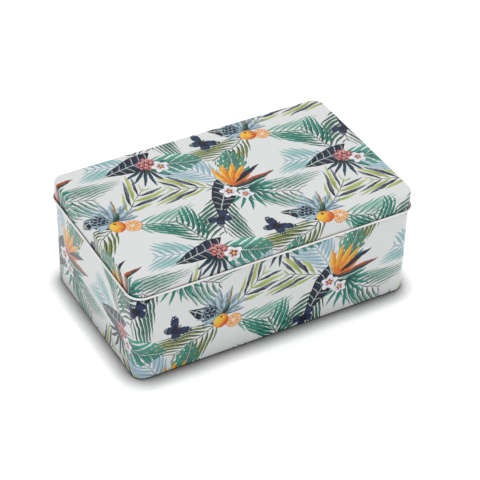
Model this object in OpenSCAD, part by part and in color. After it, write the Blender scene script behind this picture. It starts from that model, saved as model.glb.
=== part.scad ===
// Rectangular tinplate box with rounded corners and a slip-on lid.
// The body is one strip of sheet bent round and locked to itself at the middle of the back.
// Its lower edge is folded together with the edge of a separate bottom panel, its upper edge is
// curled inward, and the drawn lid slips over that rim and rests on it.
// Millimetres. Z is up, X runs along the box, and the origin is under the middle of the box,
// on the surface that it stands on.

/* [Box] */
// Length of the body, over its walls
body_l = 200; // [120:1:300]
// Width of the body, over its walls
body_w = 121; // [80:1:200]
// Height of the closed box, from the foot to the top of the lid
box_h = 80; // [45:1:160]
// Radius of the four upright corners, outside the body wall
corner_r = 8; // [6:0.5:20]

/* [Sheet] */
// Thickness of the tinplate
sheet_t = 0.25; // [0.18:0.01:0.34]
// Room left between two layers of sheet that are folded together
fold_gap = 0.05; // [0.03:0.01:0.08]

/* [Lid] */
// Height of the lid, from the underside of its rim bead to its top
lid_h = 14; // [9:0.5:30]
// Outside radius of the edge between the lid's top and its skirt
lid_edge_r = 2; // [1.5:0.1:3]
// Outside diameter of the bead that the skirt's lower edge is curled into
lid_bead_d = 1.7; // [1.2:0.1:3]
// How far round the bead is curled, from the skirt
lid_bead_turn = 290; // [180:5:300]
// Room between the inside of the skirt and the body wall
lid_clearance = 0.5; // [0.35:0.05:1]
// Room between the underside of the lid's top and the body's rim
seat_gap = 0.15; // [0.1:0.05:0.3]

/* [Body rim] */
// Outside diameter of the body's inward curl
rim_curl_d = 2.2; // [1.6:0.1:2.4]
// How far round the rim is curled, from the wall
rim_curl_turn = 300; // [180:5:310]

/* [Side seam] */
// Width over which the two ends of the body strip are hooked together
seam_w = 3; // [2:0.1:6]
// Length notched out of the hooks, below the rim and above the foot
seam_notch = 0.3; // [0.1:0.1:2]

/* [Foot and bottom] */
// Outside radius of the edge between the wall and the foot
foot_r = 1.2; // [1:0.1:1.6]
// Width over which the body's foot and the bottom panel are hooked together
foot_hook_w = 2.8; // [2:0.1:3.2]
// Distance from the outside of the wall to the step pressed in the bottom panel
step_inset = 10; // [8:0.5:25]
// Radius of the step's corners, in plan
step_corner_r = 6; // [4:0.5:20]
// Height of the step, which lifts the middle of the bottom panel
step_h = 1; // [0.5:0.1:2]

/* [Hidden] */
$fn = 64;

// A length cut to a whole number of microns, so that pieces placed from it meet exactly
function micron(x) = floor(1000 * x) / 1000;

// Height from one folded layer to the next, and the outside radius of a fold round one layer
layer = sheet_t + fold_gap;
fold_r = layer + sheet_t / 2;

// Rim and bead
rim_r = rim_curl_d / 2;
bead_r = lid_bead_d / 2;
lid_z = box_h - lid_h;
skirt_x = lid_clearance + sheet_t;

// Height of the body. Its rim stays seat_gap below the lid's top, and as far from the inside of
// the lid's edge where that curves in over the rim: in_edge is how far the rim's middle stands
// outside the edge's middle, and edge_room is the most that may lie between those two.
in_edge = max(0, lid_edge_r - skirt_x - rim_r);
edge_room = lid_edge_r - sheet_t - seat_gap - rim_r;
rim_drop = in_edge > 0 ? edge_room - sqrt(edge_room ^ 2 - in_edge ^ 2) : 0;
body_h = micron(box_h - sheet_t - seat_gap - rim_drop);

// Slope of every joggle in the sheet, where it turns through two equal bends from one level to
// another, and the number of facets in each of those bends
joggle_a = 60;
joggle_steps = 6;

// Inner end of the foot's hook, and the level of the bottom panel's underside
hook_x = -foot_r - foot_hook_w;
panel_z = 3 * layer;

// Side seam: half its hooks' width, and the heights between which the wall is opened for it
seam_in = seam_w / 2;
seam_low = foot_r + 4 * layer;
seam_high = body_h - rim_curl_d;

// Radius of the middle of the sheet in the bends of a joggle of height h
function joggle_r(h) = h / (2 * (1 - cos(joggle_a)));

// Length that a joggle of height h takes up
function joggle_length(h) = micron(2 * joggle_r(h) * sin(joggle_a));

// Points beside a joggle of height h, at a distance d to the left of the middle of the sheet
function joggle_side(h, d) = let (r = joggle_r(h), end = [joggle_length(h), h]) [
    for (i = [0:joggle_steps]) let (a = joggle_a * i / joggle_steps)
        [r * sin(a), r * (1 - cos(a))] + d * [-sin(a), cos(a)],
    for (i = [joggle_steps - 1:-1:0]) let (a = joggle_a * i / joggle_steps)
        end - [r * sin(a), r * (1 - cos(a))] + d * [-sin(a), cos(a)]
];

// Rounded rectangle
module rounded(l, w, r) {
    square([l - 2 * r, w], center = true);
    square([l, w - 2 * r], center = true);
    for (x = [-1, 1], y = [-1, 1])
        translate([x * (l / 2 - r), y * (w / 2 - r)]) circle(r);
}

// Sheet bent round the origin with outside radius r, from angle a to angle b
module bend(r, a, b) {
    steps = ceil((b - a) / 45);
    intersection() {
        difference() {
            circle(r);
            circle(r - sheet_t);
        }
        polygon([
            [0, 0],
            for (i = [0:steps]) 2 * r * [cos(a + (b - a) * i / steps), sin(a + (b - a) * i / steps)]
        ]);
    }
}

// Sheet that leaves the origin along X with its middle at y = 0 and climbs by h
module joggle(h) {
    upper = joggle_side(h, sheet_t / 2);
    lower = joggle_side(h, -sheet_t / 2);
    polygon([each lower, for (i = [len(upper) - 1:-1:0]) upper[i]]);
}

// Sweeps a section round a rounded rectangle. In the section, x is the distance outward from the
// outline and y is the height.
module around(l, w, r) {
    for (side = [0:3]) {
        reach = (side % 2 == 0 ? l : w) / 2;
        run = (side % 2 == 0 ? w : l) - 2 * r;
        rotate(90 * side) {
            translate([reach, run / 2, 0]) rotate([90, 0, 0]) linear_extrude(run) children();
            translate([reach - r, run / 2, 0]) rotate_extrude(angle = 90) translate([r, 0]) children();
        }
    }
}

// Section of the lid's edge: the bend down from the top, the skirt, and the bead outside it
module lid_section() {
    translate([skirt_x - lid_edge_r, box_h - lid_edge_r]) bend(lid_edge_r, 0, 90);
    translate([lid_clearance, lid_z + bead_r]) square([sheet_t, lid_h - bead_r - lid_edge_r]);
    translate([lid_clearance + bead_r, lid_z + bead_r]) bend(bead_r, 180, 180 + lid_bead_turn);
}

// Section of the body wall: the inward curl, the wall, the bend into the foot, and the foot's
// hook, which turns up and back over itself
module wall_section() {
    translate([-rim_r, body_h - rim_r]) bend(rim_r, 0, rim_curl_turn);
    translate([-sheet_t, foot_r]) square([sheet_t, body_h - rim_r - foot_r]);
    translate([-foot_r, foot_r]) bend(foot_r, -90, 0);
    translate([hook_x, 0]) square([foot_hook_w, sheet_t]);
    translate([hook_x, fold_r]) bend(fold_r, 90, 270);
    translate([hook_x, 2 * layer]) square([foot_hook_w, sheet_t]);
}

// Section of the bottom panel's hook, which turns down and back inside the foot's hook
module panel_hook_section() {
    translate([-foot_r, layer + fold_r]) bend(fold_r, -90, 90);
    translate([hook_x, layer]) square([foot_hook_w, sheet_t]);
}

// Plan of the side seam, for a wall whose outside is y = 0 and whose inside is below it. The
// left end of the strip folds back on itself. The right end dips behind it and folds round it.
module seam_plan() {
    translate([seam_in, -fold_r]) bend(fold_r, -90, 90);
    translate([-seam_in, -2 * layer - sheet_t]) square([seam_w, sheet_t]);
    translate([-seam_in, -layer - sheet_t]) square([seam_w, sheet_t]);
    translate([-seam_in, -layer - fold_r]) bend(fold_r, 90, 270);
    translate([-seam_in, -3 * layer - sheet_t]) square([seam_w, sheet_t]);
    translate([seam_in, -3 * layer - sheet_t / 2]) joggle(3 * layer);
}

// Lid: one drawn pan with a flat top and a curled lower edge
module lid() {
    color([0.89, 0.89, 0.91]) {
        around(body_l, body_w, corner_r) lid_section();
        flat = 2 * (skirt_x - lid_edge_r);
        translate([0, 0, box_h - sheet_t]) linear_extrude(sheet_t)
            rounded(body_l + flat, body_w + flat, corner_r + flat / 2);
    }
}

// Body: one strip, curled at the top, hooked at the foot and locked to itself at the back
module body_wall() {
    color([0.86, 0.87, 0.9]) {
        difference() {
            around(body_l, body_w, corner_r) wall_section();
            translate([seam_in, body_w / 2 - 2 * sheet_t, seam_low])
                cube([joggle_length(3 * layer), 3 * sheet_t, seam_high - seam_low]);
        }
        translate([0, body_w / 2, seam_low + seam_notch])
            linear_extrude(seam_high - seam_low - 2 * seam_notch) seam_plan();
    }
}

// Bottom panel: hooked into the foot, with its middle pressed up to stiffen it
module bottom_panel() {
    step_l = body_l - 2 * step_inset;
    step_w = body_w - 2 * step_inset;
    step_run = joggle_length(step_h);
    color([0.76, 0.77, 0.78]) {
        around(body_l, body_w, corner_r) panel_hook_section();
        translate([0, 0, panel_z]) linear_extrude(sheet_t) difference() {
            rounded(body_l - 2 * foot_r, body_w - 2 * foot_r, corner_r - foot_r);
            rounded(step_l, step_w, step_corner_r);
        }
        around(step_l, step_w, step_corner_r)
            translate([0, panel_z + sheet_t / 2]) mirror([1, 0]) joggle(step_h);
        translate([0, 0, panel_z + step_h]) linear_extrude(sheet_t)
            rounded(step_l - 2 * step_run, step_w - 2 * step_run, step_corner_r - step_run);
    }
}

lid();
body_wall();
bottom_panel();
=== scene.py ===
import math
from functools import partial

import bmesh
import bpy
from mathutils import Matrix, Vector


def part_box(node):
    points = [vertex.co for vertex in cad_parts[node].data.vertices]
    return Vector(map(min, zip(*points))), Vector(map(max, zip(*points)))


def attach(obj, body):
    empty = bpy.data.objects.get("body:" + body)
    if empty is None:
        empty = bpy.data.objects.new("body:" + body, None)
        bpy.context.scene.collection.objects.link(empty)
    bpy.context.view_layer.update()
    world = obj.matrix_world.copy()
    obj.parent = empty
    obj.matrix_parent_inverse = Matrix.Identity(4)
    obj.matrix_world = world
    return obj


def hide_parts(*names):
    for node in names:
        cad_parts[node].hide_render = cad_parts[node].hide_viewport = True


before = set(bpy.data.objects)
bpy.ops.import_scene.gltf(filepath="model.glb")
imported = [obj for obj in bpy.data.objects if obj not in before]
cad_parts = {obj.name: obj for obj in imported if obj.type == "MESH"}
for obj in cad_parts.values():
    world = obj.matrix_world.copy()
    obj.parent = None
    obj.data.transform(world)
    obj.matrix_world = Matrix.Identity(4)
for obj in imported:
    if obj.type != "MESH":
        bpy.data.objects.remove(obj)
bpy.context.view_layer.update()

# ---------------------------------------------------------------- sizes, in metres

MM = 0.001
LID_LOW, LID_TOP = (corner.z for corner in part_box("lid"))
BODY_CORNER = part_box("body_wall")[1]
BODY_TOP = BODY_CORNER.z
BODY_L = 2 * BODY_CORNER.x
BODY_W = 2 * BODY_CORNER.y
CORNER_R = 8 * MM
SHEET_T = 0.25 * MM
LAYER = SHEET_T + 0.05 * MM              # from one folded layer of sheet to the next
LID_EDGE_R = 2 * MM
SKIRT_OUT = 0.75 * MM                    # from the body's wall to the outside of the lid's skirt
BEAD_R = 0.85 * MM
BEAD_TURN = 290                          # degrees that the bead is curled through
RIM_R = 1.1 * MM
RIM_TURN = 300
FOOT_R = 1.2 * MM
FOOT_HOOK = 2.8 * MM
SEAM_IN = 1.5 * MM                       # half the width of the side seam's hooks
SEAM_LOW = FOOT_R + 4 * LAYER            # the wall is open for the side seam from here
SEAM_HIGH = BODY_TOP - 2 * RIM_R         # to here
SEAM_NOTCH = 0.3 * MM
JOGGLE_TURN = 60
JOGGLE_R = 3 * LAYER / (2 * (1 - math.cos(math.radians(JOGGLE_TURN))))
JOGGLE_L = 2 * JOGGLE_R * math.sin(math.radians(JOGGLE_TURN))

# Painted shade on the lid: its colour is darkened in the groove over the bead, and on the bead either
# side of its crest.
GROOVE_RISE = 0.9 * MM                   # painted shade darkens the groove over the bead this far up the skirt
GROOVE_FADE = 0.55 * MM
BEAD_PAINTED_HIGHLIGHT = 2.65 * MM                   # along the sheet from the skirt to the bead's crest, left bright as a painted highlight

PLAN_POINTS = 7                          # of the plan, before its corners are rounded
CORNER_STEPS = 14
BEND_STEP = 12                           # degrees from point to point round a bend in the sheet
TOUCH = 0.001 * MM                       # points closer than this are one
SHARP = math.radians(40)


# ---------------------------------------------------------------- fields

PRINT_EDGE = 0.12                        # millimetres over which an edge of ink fades


def plug(tree, socket, value):
    """Links a field to a socket, or writes a plain value on it."""
    if isinstance(value, Field):
        tree.links.new(value.socket, socket)
    else:
        socket.default_value = value


class Field:
    """A value that varies over a shape. Its operators add Math nodes to its node tree."""

    def __init__(self, tree, socket):
        self.tree = tree
        self.socket = socket

    @classmethod
    def make(cls, tree, kind, settings=None, inputs=None, out=0):
        """Adds a node, sets its settings and then its inputs, and gives one output."""
        node = tree.nodes.new(kind)
        for name, value in (settings or {}).items():
            setattr(node, name, value)
        for key, value in (inputs or {}).items():
            plug(tree, node.inputs[key], value)
        return cls(tree, node.outputs[out])

    def node(self, kind, settings=None, inputs=None, out=0):
        return Field.make(self.tree, kind, settings, inputs, out)

    def math(self, operation, *values):
        settings = {"operation": operation}
        return self.node("ShaderNodeMath", settings, dict(enumerate((self, *values))))

    def vector_math(self, operation, inputs):
        settings = {"operation": operation}
        return self.node("ShaderNodeVectorMath", settings, {0: self, **inputs})

    def __add__(self, other):
        return self.math("ADD", other)

    __radd__ = __add__

    def __sub__(self, other):
        return self.math("SUBTRACT", other)

    def __rsub__(self, other):
        return -self + other

    def __mul__(self, other):
        return self.math("MULTIPLY", other)

    __rmul__ = __mul__

    def __truediv__(self, other):
        return self.math("DIVIDE", other)

    def __neg__(self):
        return self.math("MULTIPLY", -1)

    def __abs__(self):
        return self.math("ABSOLUTE")

    def __lt__(self, other):
        return self.math("LESS_THAN", other)

    def __gt__(self, other):
        return self.math("GREATER_THAN", other)

    def lowest(self, *others):
        """The smallest of this and the others."""
        least = self
        for other in others:
            least = least.math("MINIMUM", other)
        return least

    def highest(self, other):
        return self.math("MAXIMUM", other)

    def between(self, low, high):
        return self.highest(low).math("MINIMUM", high)

    def times_plus(self, factor, plus, clamp=False):
        settings = {"operation": "MULTIPLY_ADD", "use_clamp": clamp}
        return self.node("ShaderNodeMath", settings, {0: self, 1: factor, 2: plus})

    def share(self, offset=0.0, scale=1.0):
        """offset + scale times this, kept between 0 and 1."""
        return self.times_plus(scale, offset, clamp=True)

    def inside(self, edge=PRINT_EDGE):
        """1 where this distance is positive and 0 where it is negative, over a soft edge."""
        return self.share(0.5, 1 / edge)

    def parts(self):
        """The X, Y and Z of a vector."""
        split = self.node("ShaderNodeSeparateXYZ", {}, {0: self})
        return [Field(self.tree, socket) for socket in split.socket.node.outputs]

    def mix(self, a, b):
        """The colour a where this is 0 and b where it is 1."""
        settings = {"data_type": "RGBA", "clamp_factor": True}
        return self.node("ShaderNodeMix", settings, {0: self, 6: a, 7: b}, out=2)

    def noise(self, scale, detail=2.0, roughness=0.5):
        """Noise about 0 at this place, with features about 1 / scale apart."""
        return self.node("ShaderNodeTexNoise", {}, {
            "Vector": self, "Scale": scale, "Detail": detail, "Roughness": roughness,
        }) - 0.5


# ---------------------------------------------------------------- bent sheet

def bent_sheet(start, heading, moves):
    """Outline of a bent sheet: along its printed face, and back along its bare face.

    start and heading give the middle of the sheet and its direction at the first end, with the
    printed face on the left. Each move is (length, turn in degrees) of the middle of the sheet.
    Gives the points, each as (x, y, distance from the first end, 1 on the bare face).
    """
    middle = [(Vector(start), math.radians(heading), 0)]
    for length, turn in moves:
        steps = max(1, math.ceil(abs(turn) / BEND_STEP))
        half = math.radians(turn) / steps / 2
        chord = length / steps * (math.sin(half) / half if turn else 1)
        for _ in range(steps):
            point, angle, run = middle[-1]
            way = Vector((math.cos(angle + half), math.sin(angle + half)))
            middle.append((point + chord * way, angle + 2 * half, run + length / steps))
    printed, bare = [], []
    for point, angle, run in middle:
        out = Vector((-math.sin(angle), math.cos(angle))) * SHEET_T / 2
        printed.append((*(point + out), run, 0))
        bare.append((*(point - out), run, 1))
    return printed + bare[::-1]


def bend(radius, turn):
    """A move round a bend: the radius is that of the middle of the sheet."""
    return abs(math.radians(turn)) * radius, turn


RIM_BEND = bend(RIM_R - SHEET_T / 2, -RIM_TURN)


def wall_section():
    """The body wall, from the free end of its rim curl to the free end of its foot's hook."""
    end = math.radians(RIM_TURN)
    middle = RIM_R - SHEET_T / 2
    start = (middle * math.cos(end) - RIM_R, middle * math.sin(end) + BODY_TOP - RIM_R)
    return bent_sheet(start, RIM_TURN - 90, [
        RIM_BEND,
        (BODY_TOP - RIM_R - SEAM_HIGH, 0),
        (SEAM_HIGH - SEAM_LOW, 0),
        (SEAM_LOW - FOOT_R, 0),
        bend(FOOT_R - SHEET_T / 2, -90),
        (FOOT_HOOK, 0),
        bend(LAYER, -180),
        (FOOT_HOOK, 0),
    ])


LID_BEND = bend(LID_EDGE_R - SHEET_T / 2, -90)
SKIRT_L = LID_TOP - LID_EDGE_R - LID_LOW - BEAD_R


def lid_section():
    """The lid, from the edge of its flat top, down its skirt and round its bead."""
    start = (SKIRT_OUT - LID_EDGE_R, LID_TOP - SHEET_T / 2)
    return bent_sheet(start, 0, [
        LID_BEND,
        (SKIRT_L - GROOVE_RISE, 0),
        (GROOVE_FADE, 0),
        (GROOVE_RISE - GROOVE_FADE, 0),
        bend(BEAD_R - SHEET_T / 2, BEAD_TURN),
    ])


def seam_sections():
    """Plans of the side seam's two hooks, from the wall's outside at y = 0 inward."""
    left = bent_sheet((SEAM_IN, -SHEET_T / 2), 0, [
        bend(LAYER, -180),
        (2 * SEAM_IN, 0),
    ])
    right = bent_sheet((SEAM_IN, -LAYER - SHEET_T / 2), 180, [
        (2 * SEAM_IN, 0),
        bend(LAYER, 180),
        (2 * SEAM_IN, 0),
        bend(JOGGLE_R, JOGGLE_TURN),
        bend(JOGGLE_R, -JOGGLE_TURN),
    ])
    return left, right


# ---------------------------------------------------------------- sheet swept round the box

PRINT_MAP = "UVMap"                      # the map that the print is drawn on, in metres
BAKE_MAP = "OFBake"                      # the map that a finish is baked through
BAKE_GAP = 2 * MM                        # kept free on it between one stretch and the next
BARE_ABOVE = 0.25                        # a face is bare above this share of bare corners


def named_inputs(tree, kinds):
    """Gives the tree these inputs, each a name and a kind of socket, and gives their fields."""
    for name, kind in kinds.items():
        tree.interface.new_socket(name, in_out="INPUT", socket_type="NodeSocket" + kind)
    sockets = tree.nodes.new("NodeGroupInput").outputs
    return {name: Field(tree, sockets[name]) for name in kinds}


def swept_sheet_tree(printed, bare):
    """Node tree that sweeps the object's own outline, a section of sheet, round the box."""
    tree = bpy.data.node_groups.new("swept_sheet", "GeometryNodeTree")
    tree.interface.new_socket("Geometry", in_out="OUTPUT", socket_type="NodeSocketGeometry")
    add = partial(Field.make, tree)
    given = named_inputs(tree, {
        "Section": "Geometry", "Length": "Float", "Width": "Float", "Corner Radius": "Float",
        "Corner Steps": "Int", "Start": "Float", "Gap": "Float", "Flat Print": "Float",
        "Groove": "Float",
    })

    # The plan starts behind, at Start, and goes round by the left. Points 1 to 4 are its corners,
    # and from point 5 to point 6, which is the start again, it crosses the gap.
    index = add("GeometryNodeInputIndex")
    at_end = (index < 0.5) + (index > 4.5)
    side_x = (index > 2.5) * 2 - 1
    side_y = 1 - (abs(index - 2.5) < 1) * 2
    end_x = given["Start"] + given["Gap"] * (abs(index - 5) < 0.5)
    x = side_x * given["Length"] / 2 * (1 - at_end) + end_x * at_end
    y = side_y * given["Width"] / 2
    corners = add("GeometryNodeMeshLine", {}, {"Count": PLAN_POINTS})
    place = add("ShaderNodeCombineXYZ", {}, {"X": x, "Y": y})
    corners = add("GeometryNodeSetPosition", {}, {"Geometry": corners, "Position": place})
    plan = add("GeometryNodeMeshToCurve", {}, {"Mesh": corners})
    plan = add("GeometryNodeFilletCurve", {"mode": "POLY"}, {
        "Curve": plan, "Radius": given["Corner Radius"] * (1 - at_end),
        "Count": given["Corner Steps"],
    })

    keep = tree.nodes.new("GeometryNodeCaptureAttribute")
    for kind, name in (("FLOAT", "around"), ("VECTOR", "core"), ("VECTOR", "out")):
        keep.capture_items.new(kind, name)
    plug(tree, keep.inputs["Geometry"], plan)
    plug(tree, keep.inputs["around"], add("GeometryNodeSplineParameter", out="Length"))
    plug(tree, keep.inputs["core"], add("GeometryNodeInputPosition"))
    plug(tree, keep.inputs["out"], add("GeometryNodeInputNormal"))
    around, core, out = (Field(tree, keep.outputs[name]) for name in ("around", "core", "out"))

    section = add("GeometryNodeMeshToCurve", {}, {"Mesh": given["Section"]})
    sheet = add("GeometryNodeCurveToMesh", {}, {
        "Curve": Field(tree, keep.outputs["Geometry"]), "Profile Curve": section,
    })

    # On the body the print runs round the wall. On the lid it is flat, and flows over the edge.
    run = add("GeometryNodeInputNamedAttribute", {"data_type": "FLOAT"}, {"Name": "run"})
    wrapped = add("ShaderNodeCombineXYZ", {}, {"X": around, "Y": -run})
    reach = out.vector_math("SCALE", {"Scale": run + (SKIRT_OUT - LID_EDGE_R)})
    flat = core.vector_math("ADD", {1: reach})
    print_place = add("ShaderNodeMix", {"data_type": "VECTOR"}, {
        0: given["Flat Print"], 4: wrapped, 5: flat,
    }, out=1)
    sheet = add("GeometryNodeStoreNamedAttribute", {"data_type": "FLOAT2", "domain": "CORNER"}, {
        "Geometry": sheet, "Name": PRINT_MAP, "Value": print_place,
    })

    # Painted shade: the groove over the lid's bead, and the bead away from its crest, are darkened as
    # though little light reached them. The crest is left as a painted highlight.
    past = run - given["Groove"]
    painted_skirt_shade = (past + GROOVE_RISE) / GROOVE_FADE
    painted_bead_shade = (abs(past - BEAD_PAINTED_HIGHLIGHT) - GROOVE_FADE) / GROOVE_FADE
    painted_shade = painted_skirt_shade.lowest(painted_bead_shade).between(0, 1) * (given["Groove"] > 0)
    sheet = add("GeometryNodeStoreNamedAttribute", {"data_type": "FLOAT", "domain": "POINT"}, {
        "Geometry": sheet, "Name": "groove", "Value": painted_shade,
    })
    sheet = add("GeometryNodeMergeByDistance", {}, {"Geometry": sheet, "Distance": TOUCH})
    sheet = add("GeometryNodeRealizeInstances", {}, {"Geometry": sheet})
    bareness = add("GeometryNodeInputNamedAttribute", {"data_type": "FLOAT"}, {"Name": "bare"})
    sheet = add("GeometryNodeSetMaterial", {}, {"Geometry": sheet, "Material": printed})
    sheet = add("GeometryNodeSetMaterial", {}, {
        "Geometry": sheet, "Selection": bareness > BARE_ABOVE, "Material": bare,
    })
    tree.links.new(sheet.socket, tree.nodes.new("NodeGroupOutput").inputs[0])
    return tree


def outline_mesh(name, outline, closed):
    """A line through an outline's points, which carry its distances and bare flags. The sweep
    turns its Y downward."""
    mesh = bpy.data.meshes.new(name)
    count = len(outline)
    lines = [(k, (k + 1) % count) for k in range(count if closed else count - 1)]
    mesh.from_pydata([(x, -y, 0) for x, y, _, _ in outline], lines, [])
    for attribute, column in (("run", 2), ("bare", 3)):
        values = mesh.attributes.new(attribute, "FLOAT", "POINT").data
        values.foreach_set("value", [float(point[column]) for point in outline])
    return mesh


def swept(name, outline, closed, tree, sizes):
    """A new piece: the outline swept by the tree, as a plain mesh."""
    piece = bpy.data.objects.new(name, outline_mesh(name, outline, closed))
    bpy.context.scene.collection.objects.link(piece)
    modifier = piece.modifiers.new("swept_sheet", "NODES")
    modifier.node_group = tree
    for item in tree.interface.items_tree:
        if item.in_out == "INPUT" and item.name in sizes:
            modifier[item.identifier] = sizes[item.name]
    graph = bpy.context.evaluated_depsgraph_get()
    mesh = bpy.data.meshes.new_from_object(piece.evaluated_get(graph), depsgraph=graph)
    piece.modifiers.clear()
    piece.data = mesh
    return piece


def finish_mesh(piece, bm):
    """Closes a piece's mesh: faces out, sharp cut edges, and flat faces that shade flat."""
    bmesh.ops.recalc_face_normals(bm, faces=bm.faces)
    for face in bm.faces:
        face.smooth = True
    bm.to_mesh(piece.data)
    bm.free()
    piece.data.set_sharp_from_angle(angle=SHARP)
    weighted = piece.modifiers.new("weighted_normals", "WEIGHTED_NORMAL")
    weighted.keep_sharp = True


def lay_out(bm, place):
    """Adds the map to bake through. place gives a spot on it, from the spot on the print, the
    middle of its face there, and whether the face is bare."""
    bake = bm.loops.layers.uv.new(BAKE_MAP)
    uv = bm.loops.layers.uv[PRINT_MAP]
    for face in bm.faces:
        middle = sum((loop[uv].uv for loop in face.loops), Vector((0, 0))) / len(face.loops)
        for loop in face.loops:
            loop[bake].uv = place(loop[uv].uv, middle, face.material_index)


def lay_out_flat(bm):
    """The print of a pan as it lies flat, and the bare face smaller above it."""
    uv = bm.loops.layers.uv[PRINT_MAP]
    spots = [loop[uv].uv for face in bm.faces for loop in face.loops]
    half = Vector([max(spot[k] for spot in spots) + BAKE_GAP for k in (0, 1)])
    width, height = 2 * half
    small = (width - height) / height

    def place(spot, _, bare):
        spot = spot + half
        return (spot * small + Vector((0, height)) if bare else spot) / width

    lay_out(bm, place)


def lay_out_strip(bm):
    """The print of the strip in three rows, with the front and its two corners in the middle
    one, and the bare face squeezed beside them."""
    uv = bm.loops.layers.uv[PRINT_MAP]
    quarter = math.tau / 4 * CORNER_R
    first = SEAM_IN + BODY_L / 2 + quarter + BODY_W - 3 * CORNER_R
    second = first + 2 * quarter + BODY_L - 2 * CORNER_R
    starts = (0, first, second)
    length = first + BAKE_GAP
    height = BAKE_GAP - min(loop[uv].uv.y for face in bm.faces for loop in face.loops)
    size = len(starts) * height
    squeeze = (size - length) / length

    def place(spot, middle, bare):
        row = sum(middle.x > start for start in starts[1:])
        along = max(0, spot.x - starts[row])
        down = row * height - spot.y
        return Vector((length + along * squeeze if bare else along, size - down)) / size

    lay_out(bm, place)


BOX_SIZES = {
    "Length": BODY_L, "Width": BODY_W, "Corner Radius": CORNER_R, "Corner Steps": CORNER_STEPS,
    "Start": SEAM_IN, "Gap": JOGGLE_L,
}


def lid(tree):
    """The drawn lid: its edge swept round the box, and its flat top closed on both faces."""
    sizes = {**BOX_SIZES, "Flat Print": 1.0, "Groove": LID_BEND[0] + SKIRT_L}
    piece = swept("lid_pan", lid_section(), False, tree, sizes)
    bm = bmesh.new()
    bm.from_mesh(piece.data)
    uv = bm.loops.layers.uv[PRINT_MAP]
    rings = [edge for edge in bm.edges if edge.is_boundary]
    for face in bmesh.ops.holes_fill(bm, edges=rings, sides=0)["faces"]:
        for loop in face.loops:
            loop[uv].uv = loop.vert.co.xy
        face.material_index = int(face.calc_center_median().z < LID_TOP - SHEET_T / 2)
    lay_out_flat(bm)
    finish_mesh(piece, bm)
    return piece


def body_wall(tree):
    """The wall, opened at the back for its side seam, with the seam's two hooks in place."""
    sizes = {**BOX_SIZES, "Flat Print": 0.0, "Groove": 0.0}
    piece = swept("body_shell", wall_section(), True, tree, sizes)
    bm = bmesh.new()
    bm.from_mesh(piece.data)
    uv = bm.loops.layers.uv[PRINT_MAP]
    round_length = max(loop[uv].uv.x for face in bm.faces for loop in face.loops)

    def in_window(vert):
        x, y, z = vert.co
        beside = SEAM_IN - TOUCH < x < SEAM_IN + JOGGLE_L + TOUCH and y > BODY_W / 2 - 2 * SHEET_T
        return beside and SEAM_LOW - TOUCH < z < SEAM_HIGH + TOUCH

    window = [face for face in bm.faces if all(in_window(vert) for vert in face.verts)]
    bmesh.ops.delete(bm, geom=window, context="FACES")
    rims = [edge for edge in bm.edges if edge.is_boundary]
    for face in bmesh.ops.bridge_loops(bm, edges=rims)["faces"]:
        face.material_index = 1

    for outline in seam_sections():
        for face, bare in seam_hook(bm, outline):
            face.material_index = bare
            for loop in face.loops:
                x, _, z = loop.vert.co
                down = RIM_BEND[0] + BODY_TOP - RIM_R - z
                loop[uv].uv = (round_length - (x - SEAM_IN), -down)
    lay_out_strip(bm)
    finish_mesh(piece, bm)
    return piece


def seam_hook(bm, outline):
    """Adds an upright hook of the side seam. Gives each of its faces, and 1 if it is bare."""
    rings = []
    for z in (SEAM_LOW + SEAM_NOTCH, SEAM_HIGH - SEAM_NOTCH):
        rings.append([bm.verts.new((x, BODY_W / 2 + y, z)) for x, y, _, _ in outline])
    low, high = rings
    faces = []
    for k, point in enumerate(outline):
        after = (k + 1) % len(outline)
        side = bm.faces.new((low[k], low[after], high[after], high[k]))
        faces.append((side, int(point[3] + outline[after][3] > 0)))
    return faces + [(bm.faces.new(low), 1), (bm.faces.new(high), 1)]


# ---------------------------------------------------------------- print: drawing, in millimetres

TILE_W = 120                             # the print repeats in columns of this width
TILE_H = 100                             # and this height, each column dropped by half
ROW_RISE = 0.87                          # from row to row of cells, as a share of their pitch


def ink(red, green, blue):
    """A colour given as it shows on a screen, 0 to 255."""
    def linear(value):
        share = value / 255
        return share / 12.92 if share < 0.04045 else ((share + 0.055) / 1.055) ** 2.4
    return linear(red), linear(green), linear(blue), 1


def turned(x, y, angle):
    """The same place in a frame turned by an angle in degrees."""
    cosine, sine = math.cos(math.radians(angle)), math.sin(math.radians(angle))
    return x.times_plus(cosine, y * sine), y.times_plus(cosine, x * -sine)


def moved(x, y, along, up, angle=0):
    """The same place in a frame with another origin, turned by an angle."""
    if angle:
        return turned(x - along, y - up, angle)
    return x - along, y - up


def nearest(x, y, along, up, angle=0):
    """The place from the nearest repeat of a spot in the print, in a frame turned there."""
    off = x - along
    local_x = off.math("WRAP", TILE_W / 2, -TILE_W / 2)
    drop = (off - local_x) * (TILE_H / 2 / TILE_W)
    local_y = (y - up - drop).math("WRAP", TILE_H / 2, -TILE_H / 2)
    return turned(local_x, local_y, angle) if angle else (local_x, local_y)


def swell(along, fullness=4.0):
    """Width along a leaf, from 0 at its base to 1 at its middle and 0 at its tip."""
    return along * (1 - along) * fullness


def blade(x, y, length, width, arch):
    """A single leaf along X. Gives the distance inside it, how far along it a place is, and how
    far to the side."""
    along = x / length
    side = y - x * x * arch
    return swell(along) * width - abs(side), along, side


def frond(x, y, length, pairs, reach, width, lean, arch, droop, stem=0.35):
    """A feather leaf along X: pairs of leaflets on an arched stem. Gives the distance inside it,
    how far out along its leaflet and across it a place is, and the number of the leaflet."""
    angle = math.radians(lean)
    pitch = length / (pairs + 0.6)
    off = abs(y - x * x * arch)
    foot = x - off * (off * droop + 1 / math.tan(angle))
    number = (foot / pitch).math("ROUND").between(0, pairs)
    share = number / pairs
    span = swell(share, 3.0 * reach) + 0.3 * reach
    out = off / span
    across = (foot - number * pitch) * math.sin(angle)
    leaflet = swell(out, 4 * width / reach) * span - abs(across)
    spine = x.lowest(length - x, stem - off)
    return leaflet.highest(spine), out, across, number


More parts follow.
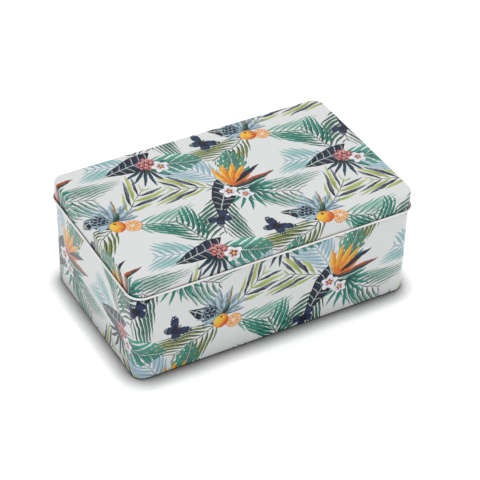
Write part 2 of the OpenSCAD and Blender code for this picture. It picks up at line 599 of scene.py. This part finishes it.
def fan(x, y, count, step, length, width, shrink, arch):
    """An odd number of blades from the origin, a step in degrees apart, about +X. Gives the
    distance inside one, how far along it a place is, and how far to the side."""
    most = (count - 1) / 2
    number = (y.math("ARCTAN2", x) / math.radians(step)).math("ROUND").between(-most, most)
    turn = number * math.radians(step)
    cosine, sine = turn.math("COSINE"), turn.math("SINE")
    along = x * cosine + y * sine
    across = y * cosine - x * sine - along * along * number * arch
    share = along / (length * (1 - number * number * shrink))
    return swell(share, 4 * width) - abs(across), share, across


def oval(x, y, length, width):
    """Distance inside an oval that starts at the origin and lies along X."""
    half = length / 2
    return (1 - polar((x - half) / half, y / (width / 2))[0]) * (width / 2)


def polar(x, y):
    """Distance and angle from the origin."""
    return (x * x + y * y).math("SQRT"), y.math("ARCTAN2", x)


def honeycomb(x, y, pitch):
    """The place from the middle of its cell, in rows of closely packed cells."""
    rise = pitch * ROW_RISE
    row = (y / rise).math("ROUND")
    cell_x = (x + row * (pitch / 2)).math("WRAP", pitch / 2, -pitch / 2)
    return cell_x, y - row * rise


# ---------------------------------------------------------------- print: plants

LEAF_TEAL = ink(44, 156, 132)
LEAF_TEAL_DEEP = ink(8, 62, 62)
LEAF_DARK = ink(14, 38, 38)
LEAF_MID = ink(84, 140, 118)
LEAF_OLIVE = ink(148, 160, 76)
LEAF_LIME = ink(196, 204, 128)
LEAF_NAVY = ink(22, 30, 56)
LEAF_BLUE = ink(122, 162, 182)
LEAF_BLUE_PALE = ink(186, 208, 216)
LEAF_BLUE_DEEP = ink(44, 78, 100)
LEAF_GREY = ink(150, 162, 160)
LEAF_MINT = ink(158, 204, 190)
VEIN_PALE = ink(208, 222, 208)
NIGHT = ink(8, 12, 28)
NIGHT_SHEEN = ink(44, 62, 98)
ORANGE = ink(236, 142, 44)
ORANGE_DEEP = ink(206, 86, 34)
YELLOW = ink(246, 202, 74)
RED = ink(176, 44, 54)
ROSE = ink(226, 142, 146)
BLUSH = ink(244, 226, 222)
PETAL = ink(240, 238, 240)
PETAL_SHADE = ink(196, 194, 206)
HEART = ink(112, 24, 32)
TWIG = ink(190, 142, 72)
TWIG_DEEP = ink(122, 84, 50)
PAPER_DARK = ink(222, 223, 224)
PAPER_LIGHT = ink(233, 234, 233)

HAND_WANDER = 3.0                        # millimetres by which the drawing hand wanders
HAND_SCALE = 0.11                        # scales of that wander, of the washes and of their grain
WASH_SCALE = 0.32
GRAIN_SCALE = 1.6
WASH_TONE = 1.1                          # what a wash and its grain add to a pigment's tone
GRAIN_TONE = 0.35
POOL_IN = 0.28                           # pigment is darker to about here inside its edge
POOL_FADE = 0.45
POOL_TONE = 0.5                          # share of the tone that is left right at the edge


PAPER_FIELDS = {"X": "Float", "Y": "Float", "Wash": "Float", "Grain": "Float", "Colour": "Color"}


class Paper:
    """The print while it is drawn: where a place is, in millimetres with a wandering hand, the
    unevenness of the washes, and the colour so far."""

    def __init__(self, fields):
        self.x, self.y, self.wash, self.grain, self.colour = fields

    def at(self, along, up, angle=0):
        return nearest(self.x, self.y, along, up, angle)

    def lay(self, distance, dark, light, tone):
        """Lays a wash over the print where distance is positive. tone is 0 for dark, 1 for light."""
        mottled = tone + self.wash * WASH_TONE + self.grain * GRAIN_TONE
        pool = (distance - POOL_IN).inside(POOL_FADE)
        pigment = (mottled * (pool * (1 - POOL_TONE) + POOL_TONE)).share().mix(dark, light)
        self.colour = distance.inside().mix(self.colour, pigment)

    def line(self, mask, colour, strength=1.0):
        """Draws in one colour over the print where the mask is 1."""
        self.colour = (mask * strength if strength < 1 else mask).mix(self.colour, colour)

    def fields(self):
        return self.x, self.y, self.wash, self.grain, self.colour


def bare_paper(uv):
    """The pale ground of the print."""
    place = uv.vector_math("SCALE", {"Scale": 1 / MM})
    wander = uv.node("ShaderNodeTexNoise", {}, {
        "Vector": place, "Scale": HAND_SCALE, "Detail": 3,
    }, out="Color")
    wash = place.noise(WASH_SCALE, 4)
    grain = place.noise(GRAIN_SCALE)
    colour = (wash * 0.5 + grain * 0.25).share(0.5).mix(PAPER_DARK, PAPER_LIGHT)
    x, y, _ = place.parts()
    way_x, way_y, _ = wander.parts()
    return Paper((x + way_x * HAND_WANDER, y + way_y * HAND_WANDER, wash, grain, colour))


def plant(draw):
    """Turns a function that draws a plant into one that draws it in a node group of its own."""
    def drawn(paper, *sizes, **more):
        group = bpy.data.node_groups.new(draw.__name__, "ShaderNodeTree")
        group.interface.new_socket("Colour", in_out="OUTPUT", socket_type="NodeSocketColor")
        inner = Paper(named_inputs(group, PAPER_FIELDS).values())
        draw(inner, *sizes, **more)
        group.links.new(inner.colour.socket, group.nodes.new("NodeGroupOutput").inputs[0])
        given = dict(zip(PAPER_FIELDS, paper.fields()))
        paper.colour = paper.x.node("ShaderNodeGroup", {"node_tree": group}, given)
    return drawn


# A plant's tone is mixed from how far along, across and deep inside its leaf or fruit a place is,
# and a width given to inside is in millimetres.

@plant
def palm(paper, spot, length, dark, light, pairs=9, reach=20, width=1.35, arch=0.005):
    """A feather palm's frond. Each leaflet has a dark side and a pale side."""
    x, y = paper.at(*spot)
    depth, out, across, _ = frond(x, y, length, pairs, reach, width, lean=46, arch=arch, droop=0.02)
    paper.lay(depth, dark, light, out * 0.45 + across * 0.45 + depth * 0.3 + 0.12)


@plant
def bamboo(paper, spot, length, pairs=5):
    """A twig with few broad leaves, which turn from olive to navy one after another."""
    x, y = paper.at(*spot)
    depth, out, across, number = frond(
        x, y, length, pairs, reach=15, width=1.5, lean=38, arch=0.003, droop=0.01, stem=0.3,
    )
    odd = (number * 0.5).math("FRACT") * 2
    paper.lay(depth, LEAF_NAVY, LEAF_GREY, out * 0.5 + across * 0.2)
    paper.lay(depth - (1 - odd) * 9, LEAF_OLIVE, LEAF_LIME, out * 0.9 + across * 0.3)


@plant
def fan_palm(paper, spot, length, dark, light, count=11, step=19):
    """A palm's leaf of narrow blades that spread from one point."""
    x, y = paper.at(*spot)
    depth, along, side = fan(x, y, count, step, length, width=1.25, shrink=0.012, arch=0.0012)
    paper.lay(depth, dark, light, along + side * 0.3)


@plant
def agave(paper, spot, size):
    """A rosette of thick pointed leaves in two ranks."""
    x, y = paper.at(*spot)
    for count, step, reach, width, turn in ((9, 23, size, 1.9, 0), (7, 24, size * 0.78, 2.1, 9)):
        rank = turned(x, y, turn)
        depth, along, side = fan(*rank, count, step, reach, width, shrink=0.02, arch=0.0024)
        tone = side.math("SIGN") * 0.22 + along * 0.55 + depth * 0.2 + 0.1
        paper.lay(depth, LEAF_BLUE_DEEP, LEAF_BLUE_PALE, tone)


@plant
def banana_leaf(paper, spot, length, width, dark=LEAF_TEAL_DEEP, light=LEAF_TEAL):
    """A broad leaf with a pale midrib, ribs across it and torn edges."""
    x, y = paper.at(*spot)
    depth, _, side = blade(x, y, length, width, arch=0.004)
    off = abs(side)
    rib = (x - off * (0.9 + off * 0.02)) / 2.1
    tear = (rib * 0.31 + side.math("SIGN") * 0.37).math("FRACT")
    depth = depth.lowest((0.5 - abs(tear - 0.5) - off * 0.024) * 6)
    paper.lay(depth, dark, light, off * 0.07 + side * 0.02 + 0.3)
    lines = (0.11 - abs(rib.math("FRACT") - 0.5)).inside(0.2) * depth.inside()
    paper.line(lines, VEIN_PALE, 0.35)
    paper.line((0.28 - off).lowest(x, length - x).inside(), VEIN_PALE, 0.8)


@plant
def night_leaf(paper, spot, size):
    """A dark arrow-shaped leaf with pale veins."""
    x, y = paper.at(*spot)
    off = abs(y)
    along = x / size
    half = (1 - along) * (along + 0.42).highest(0).math("SQRT") * (size * 0.42)
    depth = (half - off).lowest(off * 0.9 + x + size * 0.12)
    rib = (x + off * 0.75 - off * off * 0.045) / 5.2
    paper.lay(depth, NIGHT, NIGHT_SHEEN, rib.math("FRACT") * 0.45 + depth * 0.04 - 0.1)
    vein = (0.055 - abs(rib.math("FRACT") - 0.5)).inside(0.06) * (depth - 0.8).inside(0.6)
    paper.line(vein, VEIN_PALE, 0.7)
    paper.line((0.3 - off).lowest(depth).inside(), VEIN_PALE, 0.9)


@plant
def crane_flower(paper, spot):
    """Pointed orange sepals and a dark tongue, out of a long beak-like sheath."""
    x, y = paper.at(*spot)
    from_stalk = moved(x, y, -14, -2.5, -4)
    sheath, along_sheath, over = blade(*from_stalk, length=37, width=2.6, arch=0.003)
    from_sepals = moved(x, y, -9, -1, 58)
    sepals, along_sepal, side = fan(
        *from_sepals, count=5, step=21, length=25, width=2.5, shrink=0.02, arch=-0.002,
    )
    paper.lay(sepals, ORANGE_DEEP, YELLOW, along_sepal * 0.75 + side * 0.2 + 0.1)
    paper.line((0.16 - abs(side)).lowest(sepals - 0.5).inside(0.2), ORANGE_DEEP, 0.6)
    from_tongue = moved(x, y, -7, 0, 26)
    tongue, along_tongue, _ = blade(*from_tongue, length=27, width=1.9, arch=-0.004)
    paper.lay(tongue, NIGHT, NIGHT_SHEEN, along_tongue * 0.5)
    paper.lay(sheath, LEAF_TEAL_DEEP, ORANGE_DEEP, over * 0.35 + along_sheath * 0.5 - 0.1)


@plant
def citrus(paper, spot, radius):
    """A round fruit with pitted skin, and a leaf on its stalk."""
    x, y = paper.at(*spot)
    leaf = moved(x, y, 0, radius * 0.8, 35)
    depth, along, side = blade(*leaf, length=radius * 2.1, width=radius * 0.36, arch=0.01)
    paper.lay(depth, LEAF_DARK, LEAF_MID, along * 0.5 + side * 0.25)
    from_middle, _ = polar(x, y)
    tone = (y - x) * (0.5 / radius) + 0.75 - from_middle * (0.35 / radius) + paper.grain
    paper.lay(radius - from_middle, ORANGE_DEEP, YELLOW, tone)
    from_stalk, _ = polar(*moved(x, y, 0.3, radius * 0.62))
    paper.line((1 - from_stalk).inside(0.6), LEAF_DARK, 0.85)


@plant
def cut_citrus(paper, spot, radius, segments=9):
    """Half a fruit, cut across: rind, pith and segments."""
    x, y = paper.at(*spot)
    from_middle, turn = polar(x, y)
    paper.lay(radius - from_middle, ORANGE_DEEP, ORANGE, 0.5)
    paper.lay(radius * 0.9 - from_middle, YELLOW, BLUSH, 0.8)
    slot = abs((turn * (segments / math.tau)).math("FRACT") - 0.5)
    beside_slot = (0.5 - slot) * from_middle * (math.tau / segments) - 0.28
    flesh = beside_slot.lowest(radius * 0.8 - from_middle, from_middle - 0.8)
    paper.lay(flesh, ORANGE_DEEP, YELLOW, from_middle * (0.7 / radius) + 0.2)


@plant
def white_flower(paper, spot, radius):
    """Five broad pale petals round a dark red heart."""
    x, y = paper.at(*spot)
    from_middle, turn = polar(x, y)
    wave = (turn * 5).math("COSINE")
    edge = radius * 0.84 + wave * (radius * 0.16)
    depth = edge - from_middle
    paper.lay(depth, PETAL_SHADE, PETAL, from_middle * (0.8 / radius) + 0.3 + wave * 0.15)
    rays = (turn * 25).math("COSINE") * 0.6 + radius * 0.34 + wave * (radius * 0.12)
    paper.lay(rays - from_middle, HEART, RED, from_middle * (1.6 / radius))
    paper.line((0.8 - from_middle).inside(0.5), YELLOW)
    paper.line((0.1 - abs(depth)).inside(0.25), PETAL_SHADE, 0.8)


@plant
def flower_head(paper, spot, radius, dark=RED, light=ROSE):
    """A round head of many small five-petalled flowers."""
    x, y = paper.at(*spot)
    from_middle, _ = polar(x, y)
    in_cell, turn = polar(*honeycomb(x, y, pitch=3.4))
    petal = (turn * 5).math("COSINE") * 0.32 + 1.35 - in_cell
    paper.lay(petal.lowest(radius - from_middle + paper.wash * 6), dark, light, in_cell * 0.9)
    paper.line((0.42 - in_cell).lowest(radius - 1 - from_middle).inside(0.3), YELLOW, 0.9)


@plant
def berries(paper, spot, radius):
    """A bunch of dark round berries, each lit from the upper left."""
    x, y = paper.at(*spot)
    from_middle, _ = polar(x, y)
    cell_x, cell_y = honeycomb(x, y, pitch=2.9)
    in_cell, _ = polar(cell_x, cell_y)
    depth = (1.3 - in_cell).lowest(radius - from_middle + paper.wash * 8)
    paper.lay(depth, NIGHT, NIGHT_SHEEN, (cell_y - cell_x) * 0.35 + 0.3)


@plant
def butterfly(paper, spot, size):
    """Dark wings with a blue band, fine veins and a row of pale spots, each side of a body."""
    x, y = paper.at(*spot)
    off = abs(y)
    from_middle, turn = polar(x, off)
    rays = abs((turn * 5.5).math("FRACT") - 0.5)
    for reach, lean, wide in ((0.74, 128, 0.7), (1.0, 60, 0.48)):
        wing = oval(*turned(x, off, lean), size * reach, size * reach * wide)
        wing = wing + (rays - 0.25) * 0.9
        band = 1 - abs(from_middle / (size * reach) - 0.5) * 2.6
        paper.lay(wing, NIGHT, NIGHT_SHEEN, band * 1.1 + rays * 0.5 - 0.2)
        paper.line((0.06 - rays).inside(0.06) * (wing - 0.4).inside(), NIGHT, 0.8)
        spot_row = (0.55 - abs(from_middle - size * reach * 0.84)).lowest((rays - 0.28) * 2.5, wing)
        paper.line(spot_row.inside(0.3), LEAF_BLUE_PALE, 0.9)
    body = oval(*moved(x, y, -size * 0.3, 0), size * 0.72, size * 0.12)
    paper.lay(body, NIGHT, TWIG_DEEP, off * 0.5)


@plant
def twig(paper, spot, length):
    """A bare bent twig."""
    depth, _, side = blade(*paper.at(*spot), length, width=1.0, arch=0.006)
    paper.lay(depth.lowest(0.75 - abs(side)), TWIG_DEEP, TWIG, side * 0.5 + 0.6)


def botanical_print(uv):
    """The whole print, from the palest plants at the back to the fruit and flowers in front.

    A plant's spot is how far along and up it stands, in millimetres, and its angle in degrees.
    """
    paper = bare_paper(uv)
    palm(paper, (-2, 4, 112), 36, LEAF_BLUE, LEAF_BLUE_PALE, 8, 15, 1.4)
    palm(paper, (44, 44, -28), 36, LEAF_MID, LEAF_MINT, 7, 15, 1.5)
    palm(paper, (-44, 46, 150), 34, LEAF_BLUE, LEAF_MINT, 7, 14, 1.5)
    palm(paper, (0, -2, -42), 42, LEAF_DARK, LEAF_MINT)
    palm(paper, (-6, -2, 230), 44, LEAF_DARK, LEAF_MID)
    palm(paper, (38, 48, 218), 40, LEAF_DARK, LEAF_OLIVE, arch=-0.005)
    palm(paper, (-40, 54, 98), 32, LEAF_DARK, LEAF_TEAL, 7, 18)
    night_leaf(paper, (34, 50, 150), 24)
    fan_palm(paper, (8, -6, -88), 24, LEAF_TEAL_DEEP, LEAF_TEAL)
    fan_palm(paper, (-40, 44, -96), 22, LEAF_DARK, LEAF_BLUE_DEEP)
    bamboo(paper, (44, 52, 36), 33)
    bamboo(paper, (-10, 4, 154), 30)
    banana_leaf(paper, (-42, 47, -26), 41, 11.5)
    banana_leaf(paper, (4, 2, 62), 37, 10.5)
    agave(paper, (38, 50, 98), 23)
    night_leaf(paper, (-5, 0, -124), 30)
    night_leaf(paper, (-39, 50, 188), 30)
    twig(paper, (34, 40, 60), 32)
    crane_flower(paper, (10, 2, 6))
    cut_citrus(paper, (46, 42, 0), 5.4)
    citrus(paper, (37, 45, 10), 5.4)
    flower_head(paper, (-38, 46, 0), 6.4)
    white_flower(paper, (-4, -4, 10), 6.6)
    white_flower(paper, (4, -11, 40), 5.4)
    white_flower(paper, (-31, 40, 20), 6)
    butterfly(paper, (5, 50, 38), 12)
    butterfly(paper, (-22, -27, 110), 11)
    berries(paper, (29, 55, 0), 5)
    return paper.colour


# ---------------------------------------------------------------- finishes

def new_material(name):
    """A material with an empty tree but for its Principled shader and output."""
    material = bpy.data.materials.new(name)
    material.use_nodes = True
    return material, material.node_tree, material.node_tree.nodes["Principled BSDF"].inputs


# The painted shade over the lid's groove and bead: how much it darkens a colour, and towards which
# colour.
PAINTED_GROOVE_DARK = 0.85                       # share of the colour that the painted shade in the groove takes away
PAINTED_GROOVE_TINT = (0.02, 0.018, 0.016, 1)

# Noise is scaled per metre. The varnish has clouds and specks in its gloss, and stands in slow
# waves and a fine peel.
VARNISH_ROUGH = 0.36
CLOUD_SCALE = 90
CLOUD_ROUGH = 0.16
SPECK_SCALE = 1400
SPECK_ROUGH = 0.12
WAVE_SCALE = 28
WAVE_DEPTH = 0.35 * MM
PEEL_SCALE = 520
PEEL_SHARE = 0.012                       # of the waves' depth
INK_SHINE = 0.06
COAT_ROUGH = 0.14
COAT_IOR = 1.22

# The bare tin is rolled along X, is cloudy, and isn't quite flat.
TIN_DARK = (0.62, 0.61, 0.59, 1)
TIN_LIGHT = (0.78, 0.77, 0.755, 1)
TIN_ROUGH = 0.28
ROLLING = (60, 5200, 5200)               # scales of its lines along X, Y and Z
TIN_CLOUD_SCALE = 70
TIN_WAVE_SCALE = 30
TIN_WAVE_DEPTH = 0.3 * MM


def with_painted_groove_shade(colour):
    """The colour with painted shade: darkened where the groove attribute says little light reaches.
    """
    groove = colour.node("ShaderNodeAttribute", {"attribute_name": "groove"}, out="Fac")
    return (groove * PAINTED_GROOVE_DARK).mix(colour, PAINTED_GROOVE_TINT)


def bump(height, depth):
    """A normal for a surface whose height varies by the depth, in metres."""
    return height.node("ShaderNodeBump", {}, {"Height": height, "Strength": 1.0, "Distance": depth})


def printed_tinplate():
    """Litho print on white enamel under a clear varnish, on sheet that is never quite flat."""
    material, tree, shader = new_material("printed_tinplate")
    uv = Field.make(tree, "ShaderNodeUVMap", {"uv_map": PRINT_MAP})
    place = Field.make(tree, "ShaderNodeTexCoord", out="Object")
    plug(tree, shader["Base Color"], with_painted_groove_shade(botanical_print(uv)))
    cloud = place.noise(CLOUD_SCALE, 3) * CLOUD_ROUGH
    speck = place.noise(SPECK_SCALE) * SPECK_ROUGH
    plug(tree, shader["Roughness"], cloud + speck + VARNISH_ROUGH)
    peel = place.noise(PEEL_SCALE, 1) * PEEL_SHARE
    plug(tree, shader["Normal"], bump(place.noise(WAVE_SCALE, 1) + peel, WAVE_DEPTH))
    shader["Specular IOR Level"].default_value = INK_SHINE
    shader["Coat Weight"].default_value = 1
    shader["Coat Roughness"].default_value = COAT_ROUGH
    shader["Coat IOR"].default_value = COAT_IOR
    return material


def bare_tinplate():
    """Bright tinplate: fine rolling lines along the sheet, cloudy tin and a faint warm lacquer."""
    material, tree, shader = new_material("bare_tinplate")
    place = Field.make(tree, "ShaderNodeTexCoord", out="Object")
    grain = place.vector_math("MULTIPLY", {1: ROLLING}).noise(1, 2, 0.6)
    cloud = place.noise(TIN_CLOUD_SCALE, 4, 0.6)
    tint = (cloud * 0.9 + grain * 0.35).share(0.5).mix(TIN_DARK, TIN_LIGHT)
    plug(tree, shader["Base Color"], with_painted_groove_shade(tint))
    shader["Metallic"].default_value = 1
    plug(tree, shader["Roughness"], cloud * 0.22 + grain * 0.16 + TIN_ROUGH)
    wave = place.noise(TIN_WAVE_SCALE, 1)
    plug(tree, shader["Normal"], bump(grain * 0.004 + wave, TIN_WAVE_DEPTH))
    return material


# ---------------------------------------------------------------- studio

CAMERA_TURN = -29.84
CAMERA_RISE = 38.4
CAMERA_ROLL = 1.47
CAMERA_DISTANCE = 1130.28 * MM
CAMERA_AIM = Vector((0, 0, 50 * MM))
CAMERA_SLIDE = Vector((-5.38, 12.3)) * MM
CAMERA_LENS = 130.06
CAMERA_SENSOR = 36
CAMERA_END = 10


def camera():
    """The camera above the box's front left corner."""
    turn, rise, roll = (math.radians(a) for a in (CAMERA_TURN, CAMERA_RISE, CAMERA_ROLL))
    back = Vector((math.sin(turn) * math.cos(rise), -math.cos(turn) * math.cos(rise), math.sin(rise)))
    level = Vector((math.cos(turn), math.sin(turn), 0))
    right = math.cos(roll) * level + math.sin(roll) * back.cross(level)
    up = back.cross(right)
    place = CAMERA_AIM + back * CAMERA_DISTANCE - CAMERA_SLIDE.x * right - CAMERA_SLIDE.y * up
    data = bpy.data.cameras.new("camera")
    data.lens = CAMERA_LENS
    data.sensor_width = CAMERA_SENSOR
    data.clip_end = CAMERA_END
    holder = bpy.data.objects.new("camera", data)
    facing = Matrix((right, up, back)).transposed().to_4x4()
    holder.matrix_world = Matrix.Translation(place) @ facing
    bpy.context.scene.collection.objects.link(holder)
    bpy.context.scene.camera = holder


FLOOR_REACH = 4                          # from its middle to its sides
FLOOR_TINT = (0.9, 0.9, 0.905, 1)
PAINTED_SHADOW_REACH = 13.5 * MM                # the painted shadow close under the box's edges
PAINTED_SHADOW_DEPTH = 1.5                      # how fast the painted shadow darkens with the share of sky that is hidden
PAINTED_SHADOW_LEAN = Vector((0.12, 0.3, 1.0))  # the painted shadow is deepest on the sides that face away from here
FLOOR_GLOW = 0.42                        # what the camera adds to the floor, so that it is white
BLACK = (0, 0, 0, 1)
WHITE = (1, 1, 1, 1)
WORLD_LIGHT = 0.66
SUN_LIGHT = 0.68
SUN_SPREAD = 30
SUN_FROM = Vector((0.05, 0.35, 1.0))
FILL_LIGHT = 0.5
FILL_SPREAD = 90
FILL_FROM = Vector((-0.45, -1.0, 0.5))
FILL_TINT = (0.93, 0.98, 1.0)


def seen_directly(tree):
    """1 for what the camera sees, straight or in a mirror or through glass, and 0 for light."""
    path = Field.make(tree, "ShaderNodeLightPath")
    rays = [Field(tree, path.socket.node.outputs[name]) for name in (
        "Is Camera Ray", "Is Glossy Ray", "Is Transmission Ray",
    )]
    return rays[0].highest(rays[1]).highest(rays[2])


def floor():
    """A plain white floor that keeps the lamps' shadow of the box, and a painted shadow close under
    its edges.
    """
    mesh = bpy.data.meshes.new("floor")
    far = FLOOR_REACH
    corners = [(-far, -far, 0), (far, -far, 0), (far, far, 0), (-far, far, 0)]
    mesh.from_pydata(corners, [], [(0, 1, 2, 3)])
    material, tree, shader = new_material("floor")
    # Painted shadow: ambient occlusion, leaned as if lit from behind, darkens the floor's colour near
    # the box.
    lean = Field.make(tree, "ShaderNodeCombineXYZ", {}, dict(enumerate(PAINTED_SHADOW_LEAN.normalized())))
    near = lean.node("ShaderNodeAmbientOcclusion", {"samples": 8}, {
        "Distance": PAINTED_SHADOW_REACH, "Normal": lean,
    }, out="AO")
    painted_shade = near.times_plus(PAINTED_SHADOW_DEPTH, 1 - PAINTED_SHADOW_DEPTH, clamp=True)
    plug(tree, shader["Base Color"], painted_shade.mix(BLACK, FLOOR_TINT))
    shader["Roughness"].default_value = 1
    shader["Specular IOR Level"].default_value = 0
    shader["Emission Strength"].default_value = 1
    # The painted shadow darkens the glow as well.
    glow = seen_directly(tree) * FLOOR_GLOW * painted_shade
    grey = glow.node("ShaderNodeCombineXYZ", {}, {0: glow, 1: glow, 2: glow})
    plug(tree, shader["Emission Color"], grey)
    mesh.materials.append(material)
    piece = bpy.data.objects.new("floor", mesh)
    bpy.context.scene.collection.objects.link(piece)


def sun(name, light, spread, come_from):
    """A soft distant lamp that shines from a direction."""
    lamp = bpy.data.lights.new(name, "SUN")
    lamp.energy = light
    lamp.angle = math.radians(spread)
    holder = bpy.data.objects.new(name, lamp)
    holder.rotation_euler = (-come_from).to_track_quat("-Z", "Y").to_euler()
    bpy.context.scene.collection.objects.link(holder)
    return lamp


def light():
    """An even white sky, a soft lamp overhead and a weak one from the front."""
    world = bpy.data.worlds.new("studio")
    bpy.context.scene.world = world
    world.use_nodes = True
    tree = world.node_tree
    strength = seen_directly(tree) * (1 - WORLD_LIGHT) + WORLD_LIGHT
    sky = tree.nodes["Background"].inputs
    plug(tree, sky["Color"], WHITE)
    plug(tree, sky["Strength"], strength)
    sun("overhead", SUN_LIGHT, SUN_SPREAD, SUN_FROM)
    sun("front", FILL_LIGHT, FILL_SPREAD, FILL_FROM).color = FILL_TINT


# ---------------------------------------------------------------- the box

bpy.context.scene.view_settings.view_transform = "Standard"
camera()
floor()
light()

print_finish = printed_tinplate()
bare_finish = bare_tinplate()
sweep = swept_sheet_tree(print_finish, bare_finish)
for make, node, body in ((lid, "lid", "lid"), (body_wall, "body_wall", "box")):
    piece = make(sweep)
    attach(piece, body)
    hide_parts(node)
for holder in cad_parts["bottom_panel"].material_slots:
    holder.material = bare_finish
